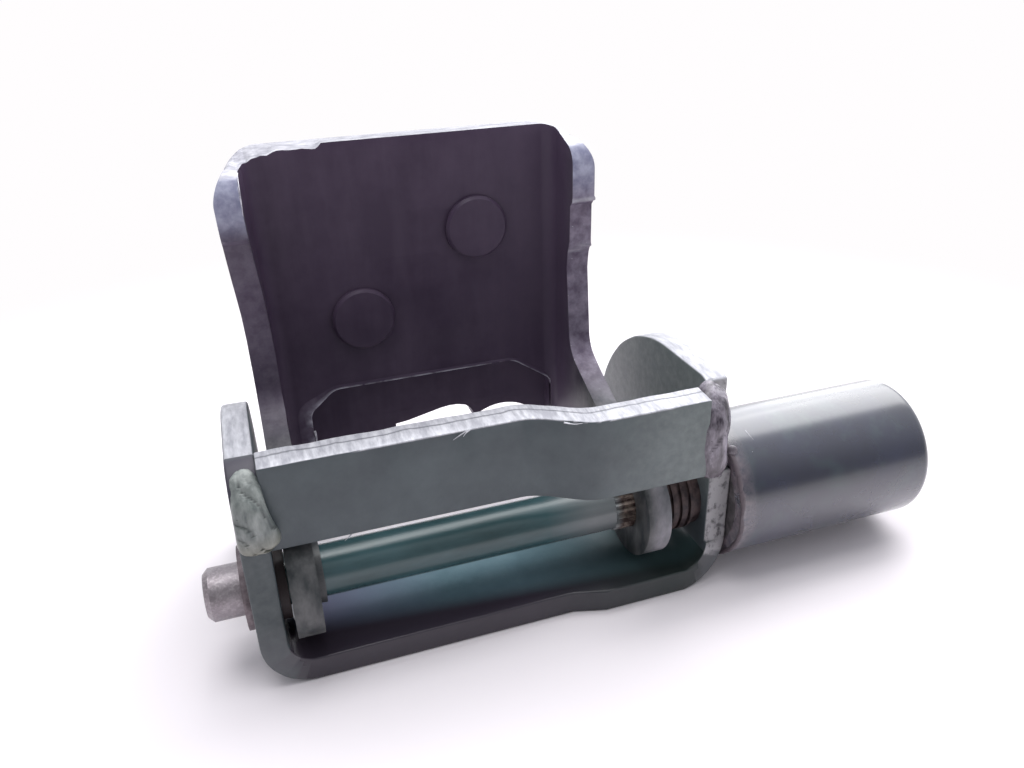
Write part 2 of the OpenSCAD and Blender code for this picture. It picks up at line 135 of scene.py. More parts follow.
def bead(path, out, width, height, ripples, slant, depth, seed, sides=32, rings=160):
    """A weld run: an ellipse carried along a path, its width across the path and its height outward. The
    phase of the ripples grows along the path and with slant across it, and within each ripple the surface falls
    by the share depth, deeper in some ripples than in others. Both ends round off."""
    p, o, side = run_frame(path, out, rings, rings // 12)
    t = np.linspace(0, 1, rings)[:, None]
    v = np.linspace(0, 2 * np.pi, sides, endpoint=False)[None, :]
    w, h = along(width, rings, rings // 12), along(height, rings, rings // 12)
    end = np.sqrt(np.clip(1 - np.abs(2 * t - 1) ** 6, 0, 1)) * 0.97 + 0.03
    turn = ripples * t + slant * np.cos(v) + 0.35 * np.sin(9 * t + 2 * v)
    phase = turn % 1
    deep = depth * (0.55 + 0.45 * np.sin(2.4 * np.floor(turn) + seed))
    x = np.cos(v) * w * end / 2
    y = np.sin(v) * h * end * (1 - deep * phase ** 2)
    points = p[:, None] + x[..., None] * side[:, None] + y[..., None] * o[:, None]
    uneven = 0.20 * wave(points, 5, seed) + 0.06 * wave(points, 1.6, seed + 1)
    points = points + uneven[..., None] * o[:, None]
    furrow = np.clip((phase - 0.70) / 0.30, 0, 1) * (np.sin(v) > 0) * deep / depth
    return points.reshape(-1, 3), tube_faces(rings, sides), {"furrow": furrow}


def ball(centre, size, seed, rings=14, sides=18):
    """A drop of metal: a sphere whose radii along X, Y and Z are given, with its surface pushed in and out
    a little."""
    u = np.linspace(0.02, np.pi - 0.02, rings)[:, None]
    v = np.linspace(0, 2 * np.pi, sides, endpoint=False)[None, :]
    unit = np.stack(np.broadcast_arrays(np.sin(u) * np.cos(v), np.sin(u) * np.sin(v), -np.cos(u)), -1)
    uneven = 1 + 0.12 * wave(unit, 1.4, seed)
    points = np.asarray(centre, float) + unit * np.asarray(size, float) * uneven[..., None]
    return points.reshape(-1, 3), tube_faces(rings, sides), {"furrow": np.zeros(rings * sides)}


def sliver(path, thick, wide, seed, rings=24, sides=8):
    """A curl of burr: a flat ellipse carried along a path, thinning to a point at its far end."""
    p, o, side = run_frame(path, [(0.3, -0.6, 0.75)] * 2, rings, 3)
    t = np.linspace(0, 1, rings)[:, None]
    v = np.linspace(0, 2 * np.pi, sides, endpoint=False)[None, :]
    taper = np.sqrt(1 - 0.98 * t) * (1 + 0.25 * wave(p, 2.0, seed)[:, None])
    points = p[:, None] + (np.cos(v) * wide * taper)[..., None] * side[:, None] \
        + (np.sin(v) * thick * taper)[..., None] * o[:, None]
    return points.reshape(-1, 3), tube_faces(rings, sides), {"bright": np.ones(rings * sides)}


def joined(*parts):
    """Several pieces' points, faces and shares as one."""
    points, faces, shares, first = [], [], {}, 0
    for p, f, s in parts:
        points.append(p)
        faces += [[i + first for i in face] for face in f]
        for key, value in s.items():
            shares.setdefault(key, []).append(np.ravel(value))
        first += len(p)
    return np.concatenate(points), faces, {key: np.concatenate(value) for key, value in shares.items()}


def rounded_copy(node, radius, slices=()):
    """A copy of a CAD node's mesh, merged, with its sharp edges rounded to a radius and cut by the given
    planes, each (axis, first, last, step), so that it can be bent smoothly. Gives its points, faces and
    points' normals."""
    bm = bmesh.new()
    bm.from_mesh(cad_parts[node].data)
    bmesh.ops.remove_doubles(bm, verts=bm.verts, dist=2e-6)
    bmesh.ops.dissolve_limit(bm, angle_limit=math.radians(1.5), use_dissolve_boundaries=False,
                             verts=bm.verts, edges=bm.edges, delimit=set())
    sharp = [e for e in bm.edges if len(e.link_faces) == 2 and e.calc_face_angle(0) > math.radians(28)]
    bmesh.ops.bevel(bm, geom=sharp, offset=radius * MM, offset_type="OFFSET", segments=3, profile=0.5,
                    affect="EDGES", clamp_overlap=True, loop_slide=True, material=-1)
    for axis, first, last, step in slices:
        for at in np.arange(first, last, step):
            spot, way = [0, 0, 0], [0, 0, 0]
            spot[axis], way[axis] = at * MM, 1
            bmesh.ops.bisect_plane(bm, geom=[*bm.verts, *bm.edges, *bm.faces], dist=1e-6,
                                   plane_co=spot, plane_no=way)
    bmesh.ops.triangulate(bm, faces=[f for f in bm.faces if len(f.verts) > 4])
    bm.normal_update()
    points = np.array([v.co for v in bm.verts]) / MM
    normals = np.array([v.normal for v in bm.verts])
    faces = [[v.index for v in f.verts] for f in bm.faces]
    bm.free()
    return points, faces, normals


# Finishes

def linear(code):
    """An sRGB hex colour as linear red, green, blue and alpha."""
    c = np.array([int(code[i:i + 2], 16) for i in (1, 3, 5)]) / 255
    return (*np.where(c <= 0.04045, c / 12.92, ((c + 0.055) / 1.055) ** 2.4).tolist(), 1.0)


def add(tree, kind, inputs=None, out=0, **settings):
    """Adds one shader node with its settings and gives one of its outputs. An input given as a socket is
    linked, a hex colour is made linear, and any other value is set."""
    node = tree.nodes.new("ShaderNode" + kind)
    for key, value in settings.items():
        setattr(node, key, value)
    for key, value in (inputs or {}).items():
        if isinstance(value, bpy.types.NodeSocket):
            tree.links.new(value, node.inputs[key])
        else:
            node.inputs[key].default_value = linear(value) if isinstance(value, str) else value
    return node.outputs[out] if len(node.outputs) else None


def start(name):
    """A new material's empty tree and its object coordinates."""
    material = bpy.data.materials.new(name)
    material.use_nodes = True
    tree = material.node_tree
    tree.nodes.clear()
    return material, tree, add(tree, "TexCoord", out="Object")


def patches(tree, where, size, low, high, stretch=(1, 1, 1), detail=4.0):
    """Cloudy patches about size millimetres across, drawn out along an axis by a stretch below 1, as a share
    that is 0 where the noise is under low and 1 where it is over high."""
    place = add(tree, "Mapping", {"Vector": where, "Scale": stretch})
    noise = add(tree, "TexNoise", {"Vector": place, "Scale": 1000.0 / size, "Detail": detail, "Roughness": 0.6})
    return add(tree, "MapRange", {0: noise, 1: low, 2: high})


RGBA = {"out": 2, "data_type": "RGBA"}
TIMES = {"operation": "MULTIPLY"}


def leaf_finish():
    """Electro-dipped coat on pressed steel: purple-black with cloudy patches and faint draw streaks, painted
    lighter towards the right as light falling there, greyer and greener on the arms. "sheared_and_lit" is the
    thinly coated edge, and on the pocket's lip a lighter band painted as light on its shoulder; "rim" is a
    painted highlight line along the pocket's rim, broken up like rubbing; "worn" is lavender steel that shows
    through the coat near the crown; and "bright" is bare steel on the crown's upward faces and on burrs,
    partly steel left bare by a tear or a burr and partly a painted highlight from the light above."""
    material, tree, where = start("dip_coat_on_pressed_steel")
    sheared_and_lit, rim, worn, bright = (add(tree, "Attribute", out=2, attribute_name=n)
                                  for n in ("sheared_and_lit", "rim", "worn", "bright"))
    y = add(tree, "SeparateXYZ", {0: where}, 1)
    arm = add(tree, "MapRange", {0: y, 1: 0.042, 2: 0.022})
    cloud = patches(tree, where, 18, 0.34, 0.68)
    streak = patches(tree, where, 6, 0.45, 0.75, (1, 1, 0.15))
    coat = add(tree, "Mix", {0: cloud, 6: "#3f3246", 7: "#4e4154"}, **RGBA)
    faint = add(tree, "Math", {0: streak, 1: 0.25}, **TIMES)
    coat = add(tree, "Mix", {0: faint, 6: coat, 7: "#5d5062"}, **RGBA)
    x = add(tree, "SeparateXYZ", {0: where}, 0)
    # Painted light: the coat lightens towards the right of the leaf, as light falling there
    rightward = add(tree, "MapRange", {0: x, 1: 0.0, 2: 0.038, 4: 0.4})
    coat = add(tree, "Mix", {0: rightward, 6: coat, 7: "#62556a"}, **RGBA)
    smear = patches(tree, where, 6, 0.36, 0.66, (1, 1, 0.5))
    green = add(tree, "Mix", {0: smear, 6: "#35393b", 7: "#6a6a6b"}, **RGBA)
    pale = add(tree, "Mix", {0: smear, 6: "#606367", 7: "#939197"}, **RGBA)
    right_arm = add(tree, "MapRange", {0: x, 1: 0.0350, 2: 0.0385})
    green = add(tree, "Mix", {0: right_arm, 6: green, 7: pale}, **RGBA)
    colour = add(tree, "Mix", {0: arm, 6: coat, 7: green}, **RGBA)
    # Thinly coated edge: 3 mm clouds with a few 0.8 mm nicks. The same colour paints the pocket lip's shoulder
    # lighter, as painted light on it.
    blotch = patches(tree, where, 3, 0.35, 0.70)
    nick = patches(tree, where, 0.8, 0.72, 0.77, detail=2.0)
    edge = add(tree, "Mix", {0: blotch, 6: "#665b6e", 7: "#968d9e"}, **RGBA)
    edge = add(tree, "Mix", {0: nick, 6: edge, 7: "#b8b5be"}, **RGBA)
    colour = add(tree, "Mix", {0: sheared_and_lit, 6: colour, 7: edge}, **RGBA)
    lavender = add(tree, "Mix", {0: blotch, 6: "#8486a0", 7: "#b3b6cb"}, **RGBA)
    colour = add(tree, "Mix", {0: worn, 6: colour, 7: lavender}, **RGBA)
    # Painted highlight: a pale line along the pocket's rim, broken up like rubbing
    rubbed_and_highlit = add(tree, "Math", {0: rim, 1: patches(tree, where, 5, 0.36, 0.58)}, **TIMES)
    colour = add(tree, "Mix", {0: rubbed_and_highlit, 6: colour, 7: "#c4c2cf"}, **RGBA)
    # Painted highlight: the bare steel colour on the crown's upward faces stands partly for the light from
    # above
    tear = patches(tree, where, 1.4, 0.35, 0.68, (0.35, 1, 1))
    steel = add(tree, "Mix", {0: tear, 6: "#a5a4ae", 7: "#dedde4"}, **RGBA)
    colour = add(tree, "Mix", {0: bright, 6: colour, 7: steel}, **RGBA)
    # Orange peel of the dip, drawn at 1 mm so that it shows
    peel = patches(tree, where, 1.0, 0.2, 0.8, detail=3.0)
    ragged = add(tree, "Math", {0: tear, 1: add(tree, "Math", {0: bright, 1: 3.0}, **TIMES)}, **TIMES)
    height = add(tree, "Math", {0: peel, 1: ragged})
    bump = add(tree, "Bump", {"Height": height, "Strength": 0.3, "Distance": 0.00007})
    rough = add(tree, "MapRange", {0: cloud, 3: 0.36, 4: 0.48})
    shader = add(tree, "BsdfPrincipled", {
        "Base Color": colour, "Roughness": rough, "Normal": bump, "Specular IOR Level": 0.22,
        "Metallic": add(tree, "Math", {0: bright, 1: 0.35}, **TIMES)})
    add(tree, "OutputMaterial", {0: shader})
    return material


def bracket_finish():
    """Brushed green-grey paint on folded sheet: cloudy and half glossy, teal and glossier on the floor of the
    "channel". That floor is painted with light: paler teal with a painted sheen on its rear, bluish to the
    left and dark green to the right, and dark purple along its front as the cross plate's painted shadow.
    "scuffed_and_lit" is a paler film of scuffing, and up the right cheek it is also painted lighter as light on
    its upper part; "corner_shade" is painted shade at the left cheek's front top corner; "sheared_and_lit" is
    the torn edge under the paint, "pitted" its dark tears, and "bright" the upward-facing upper edges painted
    as bare steel, partly bare from the shearing and partly a painted highlight from the light above, where
    "across" runs from 0 at the front to 1 at the back and a burnished strip meets the torn one in a dark seam."""
    material, tree, where = start("brushed_paint_on_folded_steel")
    sheared_and_lit, pitted, bright, across, scuffed_and_lit, corner_shade, channel = (
        add(tree, "Attribute", out=2, attribute_name=n)
        for n in ("sheared_and_lit", "pitted", "bright", "across", "scuffed_and_lit", "corner_shade", "channel"))
    x, z = (add(tree, "SeparateXYZ", {0: where}, i) for i in (0, 2))
    cloud = patches(tree, where, 12, 0.34, 0.68)
    colour = add(tree, "Mix", {0: cloud, 6: "#434a4f", 7: "#515a5e"}, **RGBA)
    # Painted light and shade on the channel floor: paler teal with a painted sheen on its rear, and the cross
    # plate's painted shadow as dark purple along its front
    slant = add(tree, "VectorMath", {0: where, 1: (0.085, 1, 0)}, "Value", operation="DOT_PRODUCT")
    front = add(tree, "MapRange", {0: slant, 1: -0.0015, 2: -0.0085}, interpolation_type="SMOOTHSTEP")
    leftward = add(tree, "MapRange", {0: x, 1: -0.012, 2: -0.042})
    rightward = add(tree, "MapRange", {0: x, 1: 0.005, 2: 0.040})
    floor = add(tree, "Mix", {0: cloud, 6: "#627f8a", 7: "#74919b"}, **RGBA)
    floor = add(tree, "Mix", {0: leftward, 6: floor, 7: "#70748c"}, **RGBA)
    floor = add(tree, "Mix", {0: rightward, 6: floor, 7: "#455a5c"}, **RGBA)
    stain_and_shadow = add(tree, "Mix", {0: rightward, 6: "#352e39", 7: "#283130"}, **RGBA)
    floor = add(tree, "Mix", {0: front, 6: floor, 7: stain_and_shadow}, **RGBA)
    colour = add(tree, "Mix", {0: channel, 6: colour, 7: floor}, **RGBA)
    # Scuffs: a pale film broken by 2 mm flecks; up the right cheek it also stands for painted light on the
    # cheek's upper part
    film = add(tree, "MapRange", {0: patches(tree, where, 2.0, 0.34, 0.70), 3: 0.5, 4: 0.95})
    scuff = add(tree, "Math", {0: scuffed_and_lit, 1: film}, **TIMES)
    colour = add(tree, "Mix", {0: scuff, 6: colour, 7: "#7e8785"}, **RGBA)
    blotch = patches(tree, where, 3, 0.35, 0.70)
    edge = add(tree, "Mix", {0: blotch, 6: "#3a4042", 7: "#545a5b"}, **RGBA)
    bend = add(tree, "MapRange", {0: z, 1: 0.0190, 2: 0.0080})
    edge = add(tree, "Mix", {0: add(tree, "Math", {0: bend, 1: 0.6}, **TIMES), 6: edge, 7: "#77757a"}, **RGBA)
    colour = add(tree, "Mix", {0: sheared_and_lit, 6: colour, 7: edge}, **RGBA)
    pit = patches(tree, where, 1.6, 0.50, 0.66, (1, 1, 0.7), 5.0)
    pale = add(tree, "Mix", {0: pit, 6: "#b6b4b7", 7: "#5c5a5d"}, **RGBA)
    colour = add(tree, "Mix", {0: pitted, 6: colour, 7: pale}, **RGBA)
    # Painted shade: a darker purple at the left cheek's front top corner
    colour = add(tree, "Mix", {0: corner_shade, 6: colour, 7: "#3b3443"}, **RGBA)
    # Sheared steel: tear lines about 1 mm apart across the sheet
    tear = patches(tree, where, 1.3, 0.35, 0.68, (1, 0.25, 0.5))
    steel = add(tree, "Mix", {0: tear, 6: "#9e9ea6", 7: "#c9c9cf"}, **RGBA)
    sway = add(tree, "MapRange", {0: patches(tree, where, 9, 0.3, 0.7), 3: -0.06, 4: 0.06})
    off = add(tree, "Math", {0: add(tree, "Math", {0: across, 1: sway}), 1: 0.64}, operation="SUBTRACT")
    seam = add(tree, "MapRange", {0: add(tree, "Math", {0: off}, operation="ABSOLUTE"), 1: 0.06, 2: 0.015})
    seam = add(tree, "Math", {0: seam, 1: 0.75}, **TIMES)
    steel = add(tree, "Mix", {0: seam, 6: steel, 7: "#62646a"}, **RGBA)
    # Painted highlight: the bare steel colour on the upward-facing upper edges stands partly for the light from
    # above
    colour = add(tree, "Mix", {0: bright, 6: colour, 7: steel}, **RGBA)
    # Brush marks and peel of the paint, drawn at 0.9 mm so that they show
    peel = patches(tree, where, 0.9, 0.2, 0.8, detail=3.0)
    torn = add(tree, "Math", {0: add(tree, "Math", {0: tear, 1: bright}, **TIMES), 1: 3.0}, **TIMES)
    hole = add(tree, "Math", {0: add(tree, "Math", {0: pit, 1: pitted}, **TIMES), 1: 5.0}, **TIMES)
    height = add(tree, "Math", {0: add(tree, "Math", {0: peel, 1: torn}), 1: hole}, operation="SUBTRACT")
    bump = add(tree, "Bump", {"Height": height, "Strength": 0.35, "Distance": 0.00008})
    dull = add(tree, "MapRange", {0: channel, 3: 0.40, 4: 0.24})
    rough = add(tree, "Math", {0: dull, 1: add(tree, "Math", {0: sheared_and_lit, 1: 0.12}, **TIMES)})
    shader = add(tree, "BsdfPrincipled", {
        "Base Color": colour, "Roughness": rough, "Normal": bump, "Specular IOR Level": 0.45,
        "Metallic": add(tree, "Math", {0: bright, 1: 0.35}, **TIMES)})
    add(tree, "OutputMaterial", {0: shader})
    return material


def rod_finish():
    """Gloss paint on drawn bar: deep teal with a clear highlight along the bar, bare pinkish-grey steel with
    pale specks on the stub, and brown between the serrations."""
    material, tree, where = start("gloss_paint_on_drawn_bar")
    x = add(tree, "SeparateXYZ", {0: where}, 0)
    stub = add(tree, "MapRange", {0: x, 1: -0.0565, 2: -0.0580})
    seat = add(tree, "MapRange", {0: x, 1: 0.0300, 2: 0.0318})
    # The paint shows rubbing, paler just before the serrations
    rubbed_and_highlit = add(tree, "MapRange", {0: x, 1: 0.0120, 2: 0.0240, 4: 0.75})
    cloud = patches(tree, where, 9, 0.35, 0.66, (0.3, 1, 1))
    paint = add(tree, "Mix", {0: cloud, 6: "#2b4447", 7: "#3d5a5f"}, **RGBA)
    speck = patches(tree, where, 0.7, 0.45, 0.75, detail=3.0)
    grey = add(tree, "Mix", {0: patches(tree, where, 5, 0.35, 0.65), 6: "#867e83", 7: "#9b9499"}, **RGBA)
    grey = add(tree, "Mix", {0: speck, 6: grey, 7: "#aea7ab"}, **RGBA)
    paint = add(tree, "Mix", {0: rubbed_and_highlit, 6: paint, 7: "#747678"}, **RGBA)
    brown = add(tree, "Mix", {0: patches(tree, where, 1.6, 0.4, 0.62), 6: "#4a3b38", 7: "#85786f"}, **RGBA)
    colour = add(tree, "Mix", {0: stub, 6: paint, 7: grey}, **RGBA)
    colour = add(tree, "Mix", {0: seat, 6: colour, 7: brown}, **RGBA)
    bare = add(tree, "Math", {0: stub, 1: seat}, operation="MAXIMUM")
    # Draw lines along the bar, drawn 1.2 mm apart so that they show
    line = patches(tree, where, 1.2, 0.3, 0.7, (0.05, 1, 1))
    grit = add(tree, "Math", {0: add(tree, "Math", {0: speck, 1: bare}, **TIMES), 1: 3.0}, **TIMES)
    height = add(tree, "Math", {0: line, 1: grit})
    bump = add(tree, "Bump", {"Height": height, "Strength": 0.25, "Distance": 0.00005})
    shader = add(tree, "BsdfPrincipled", {
        "Base Color": colour, "Normal": bump, "Roughness": add(tree, "MapRange", {0: bare, 3: 0.26, 4: 0.42}),
        "Specular IOR Level": 0.72, "Metallic": add(tree, "Math", {0: bare, 1: 0.6}, **TIMES)})
    add(tree, "OutputMaterial", {0: shader})
    return material


def housing_finish():
    """Gloss paint on drawn tube: blue-black under a clear gloss, greener where it is thin, brownish at the
    heated root, with hair scratches that show as fine pale lines."""
    material, tree, where = start("gloss_paint_on_drawn_tube")
    x = add(tree, "SeparateXYZ", {0: where}, 0)
    cloud = patches(tree, where, 22, 0.35, 0.7)
    colour = add(tree, "Mix", {0: cloud, 6: "#12162e", 7: "#1b2140"}, **RGBA)
    thin = add(tree, "Math", {0: patches(tree, where, 9, 0.50, 0.72), 1: 0.4}, **TIMES)
    colour = add(tree, "Mix", {0: thin, 6: colour, 7: "#3a5452"}, **RGBA)
    root = add(tree, "MapRange", {0: x, 1: 0.0620, 2: 0.0575})
    heat = add(tree, "Math", {0: root, 1: patches(tree, where, 3, 0.30, 0.60)}, **TIMES)
    colour = add(tree, "Mix", {0: heat, 6: colour, 7: "#75686f"}, **RGBA)
    turned = add(tree, "Mapping", {"Vector": where, "Rotation": (0.4, 0.2, 0.6), "Scale": (0.05, 1, 1)})
    hair = add(tree, "TexNoise", {"Vector": turned, "Scale": 1000 / 1.4, "Detail": 2.0})
    scratch = add(tree, "MapRange", {0: hair, 1: 0.735, 2: 0.76})
    colour = add(tree, "Mix", {0: scratch, 6: colour, 7: "#8f97a4"}, **RGBA)
    # Orange peel of the spray, drawn at 1.6 mm so that it shows
    peel = patches(tree, where, 1.6, 0.2, 0.8, detail=2.0)
    height = add(tree, "Math", {0: peel, 1: scratch}, operation="SUBTRACT")
    bump = add(tree, "Bump", {"Height": height, "Strength": 0.15, "Distance": 0.00005})
    rough = add(tree, "MapRange", {0: cloud, 3: 0.24, 4: 0.34})
    shader = add(tree, "BsdfPrincipled", {
        "Base Color": colour, "Roughness": rough, "Normal": bump, "Coat Weight": 1.0, "Coat Roughness": 0.24,
        "Coat IOR": 1.85, "Specular IOR Level": 0.3})
    add(tree, "OutputMaterial", {0: shader})
    return material


def weld_finish(name, ridge, dip, furrow_tint, tail_tint, rough):
    """Weld metal under thin paint or its own glassy scale: smooth ridges, "furrow" as dark lines between the
    ripples, 0.8 mm pinholes, and a tint of heat low on the run."""
    material, tree, where = start(name)
    furrow = add(tree, "Attribute", out=2, attribute_name="furrow")
    z = add(tree, "SeparateXYZ", {0: where}, 2)
    cloud = patches(tree, where, 3, 0.36, 0.66, (1.0, 1.0, 0.3))
    colour = add(tree, "Mix", {0: cloud, 6: dip, 7: ridge}, **RGBA)
    tail = add(tree, "MapRange", {0: z, 1: 0.0430, 2: 0.0370, 4: 0.6})
    colour = add(tree, "Mix", {0: tail, 6: colour, 7: tail_tint}, **RGBA)
    pinhole = patches(tree, where, 0.8, 0.68, 0.74, detail=2.0)
    dark = add(tree, "Math", {0: furrow, 1: pinhole}, operation="MAXIMUM")
    dark = add(tree, "Math", {0: dark, 1: 0.7}, **TIMES)
    colour = add(tree, "Mix", {0: dark, 6: colour, 7: furrow_tint}, **RGBA)
    # Grain of the frozen metal, drawn at 0.9 mm so that it shows
    grain = patches(tree, where, 0.9, 0.2, 0.8, detail=3.0)
    bump = add(tree, "Bump", {"Height": grain, "Strength": 0.3, "Distance": 0.00007})
    shader = add(tree, "BsdfPrincipled", {
        "Base Color": colour, "Normal": bump,
        "Roughness": add(tree, "MapRange", {0: cloud, 3: rough, 4: rough + 0.12})})
    add(tree, "OutputMaterial", {0: shader})
    return material


def turned_finish(name, pale, dark, metallic, rough, line):
    """Turned metal or moulded nylon: stains, and lathe lines round the rod's axis, drawn line millimetres
    apart, which is coarser than real ones, so that they show."""
    material, tree, where = start(name)
    stain_and_shadow = patches(tree, where, 2.4, 0.36, 0.66)
    lathe = patches(tree, where, line, 0.3, 0.7, (1, 0.06, 0.06), 2.0)
    colour = add(tree, "Mix", {0: stain_and_shadow, 6: dark, 7: pale}, **RGBA)
    colour = add(tree, "Mix", {0: add(tree, "Math", {0: lathe, 1: 0.3}, **TIMES), 6: colour, 7: dark}, **RGBA)
    bump = add(tree, "Bump", {"Height": lathe, "Strength": 0.4, "Distance": 0.00006})
    shader = add(tree, "BsdfPrincipled", {
        "Base Color": colour, "Metallic": metallic, "Normal": bump,
        "Roughness": add(tree, "MapRange", {0: stain_and_shadow, 3: rough, 4: rough + 0.15})})
    add(tree, "OutputMaterial", {0: shader})
    return material


leaf_coat = leaf_finish()
bracket_paint = bracket_finish()
rod_paint = rod_finish()
housing_paint = housing_finish()
left_weld_paint = weld_finish("thin_paint_on_weld", "#9da29f", "#5a6261", "#282c2d", "#928d7b", 0.32)
right_weld_scale = weld_finish("glassy_scale_on_weld", "#aba4b0", "#3a343d", "#29252b", "#5a5458", 0.20)
root_weld_paint = weld_finish("gloss_paint_on_weld", "#5c5259", "#3a353d", "#28252b", "#655a60", 0.45)
# Bronze is dull brown with dark oil, the flange stained pink-grey, bare steel grey and shiny under oil,
# the collar dark under paint, and nylon plain brown
bush_bronze = turned_finish("sintered_bronze_oiled", "#5c4d4c", "#2b2225", 0.30, 0.45, 0.9)
flange_steel = turned_finish("turned_steel_stained", "#92868b", "#564b50", 0.30, 0.40, 0.8)
bare_steel = turned_finish("turned_steel_oiled", "#8f8b8c", "#5d5a5c", 0.85, 0.34, 0.7)
collar_steel = turned_finish("painted_turned_steel", "#58595b", "#3c3f42", 0.0, 0.36, 0.8)
washer_nylon = turned_finish("moulded_nylon_brown", "#3a2d2f", "#291f21", 0.0, 0.5, 1.5)


# Pieces

def leaf_piece():
    """The pressed leaf: the solid's own shape with its edges rounded by 0.7 mm. The left flange leans outward
    by up to 1.9 mm at its front edge, growing from the neck to the crown, and the sheared edges wander by
    0.2 mm. From the left corner to a quarter of its width the crown's front rim is torn down, most at the
    corner, and two ridges 0.5 mm high, with the shape of a bell curve along Z, cross the right flange's edge.
    A burr curls along the left flange's inner rim near the crown."""
    p, faces, n = rounded_copy("gate_leaf", SHEET_ROUND, [
        (2, 24, 104.5, 5), (2, 75, 78, 0.5), (2, 88.5, 91.1, 0.5), (1, 36, 50, 4.5), (0, -47, -24, 0.75)])
    flange = (p[:, 0] < LEAF_X0 + 7) | (p[:, 0] > LEAF_X1 - 7)
    edge = flange & (np.abs(n[:, 0]) < 0.55) & (n[:, 1] < 0.6)
    inner = (np.abs(p[:, 0] - LEAF_X0 - 5.8) < 0.6) & (n[:, 1] < -0.3) & (p[:, 1] < 44)
    sheared_and_lit = np.where(edge, np.where(p[:, 0] < 0, 0.3, 1.0), 0.0) * ease(p[:, 1], 15, 36)
    worn = np.where(edge | (flange & (n[:, 2] > 0.3)), 0.9 * ease(p[:, 2], 88, 97), 0.0)
    torn = np.interp(p[:, 0], [-48, -44, -42, -37, -35, -29, -26.5, -25.4, -24.8],
                     [0, 1.9, 2.2, 1.8, 1.0, 0.9, 1.4, 1.1, 0]) * ease(p[:, 2], 95, 101)
    torn *= ease(p[:, 1], LEAF_Y + 5, LEAF_Y) * (1 + 0.15 * wave(p, 2.6, 13))
    ridge = np.exp(-((p[:, 2] - 89.8) / 0.5) ** 2)
    ridge += np.exp(-((p[:, 2] - 76.5 - 0.2 * (p[:, 0] - 38)) / 0.5) ** 2)
    ridge *= edge * (p[:, 0] > 0)
    # Painted highlight: the crown's upward faces get the bare steel colour, partly standing for the light from
    # above
    crown = (n[:, 2] > np.where(torn > 0.15, 0.2, 0.55)) & (p[:, 2] > LEAF_TOP - 4)
    bright = np.where(crown, 0.95, 0.55 * ridge)
    lean = FLANGE_LEAN * ease(p[:, 2], 60, 98) * ease(LEAF_Y + 2 - p[:, 1], 0, 15) * (p[:, 0] < -30)
    moved = p + n * (0.2 * wave(p, 9, 3) * edge * ease(p[:, 1], 15, 30) + RIDGE_H * ridge)[:, None]
    moved[:, 0] -= lean
    moved[:, 2] -= torn * ease(p[:, 2], 104, 105.5)
    piece = mesh_piece("pressed_leaf", moved, faces, "leaf", leaf_coat,
                       {"sheared_and_lit": sheared_and_lit, "bright": bright, "worn": worn})
    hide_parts("gate_leaf")
    order = np.argsort(p[inner, 2])
    rise, rim = p[inner, 2][order], moved[inner][order]
    burr = sliver(np.stack([np.interp(np.linspace(104, 94.5, 6), rise, c) for c in rim.T], -1), 0.20, 0.28, 5)
    mesh_piece("flange_burr", burr[0], burr[1], "leaf", leaf_coat, burr[2])


def pocket_lip():
    """The drawn-in edge round the pocket: a low wedge carried round the pocket's outline, highest at the
    outline and running out over a width that is 4 mm at the sides and under 1 mm along the top. Near its
    crest runs a painted highlight line, and its shoulder is painted lighter as light on it, most where it is
    widest."""
    spots = np.array(POCKET, float)
    length = np.r_[0, np.cumsum(np.linalg.norm(np.diff(spots, axis=0), axis=1))]
    s = np.linspace(0, length[-1], 260)
    path = np.stack([np.interp(s, length, spots[:, a]) for a in (0, 1)], -1)
    mean = np.ones(9) / 9
    path = np.stack([np.convolve(np.pad(c, 4, mode="edge"), mean, "valid") for c in path.T], -1)
    step = np.gradient(path, axis=0)
    step /= np.linalg.norm(step, axis=1, keepdims=True)
    out = np.stack([-step[:, 1], step[:, 0]], -1)
    width = np.interp(s, length, [4.2, 4.0, 1.2, 0.8, 1.2, 3.6])
    share = np.array([0, 0, 0.05, 0.2, 0.5, 0.8, 1, 1])
    height = np.array([-0.7, 0.22, 0.40, 0.40, 0.26, 0.10, -0.05, -0.7])
    flat = path[:, None] + out[:, None] * (share[None, :] * width[:, None])[..., None]
    points = np.stack([flat[..., 0], LEAF_Y - np.broadcast_to(height, flat.shape[:2]), flat[..., 1]], -1)
    # Painted highlight: a pale line along the lip's crest
    line = np.array([0, 0.6, 1, 0.5, 0, 0, 0, 0])[None, :] * np.ones((len(s), 1))
    # Painted light: the lip's shoulder is painted lighter, most where the lip is widest
    grey = np.array([0, 0, 0.3, 0.5, 0.5, 0.4, 0.1, 0])[None, :] * ease(width, 0.8, 3.5)[:, None]
    piece = mesh_piece("pocket_lip", points.reshape(-1, 3), [f[::-1] for f in tube_faces(len(s), 8)], "leaf",
                       leaf_coat, {"rim": line, "sheared_and_lit": grey})


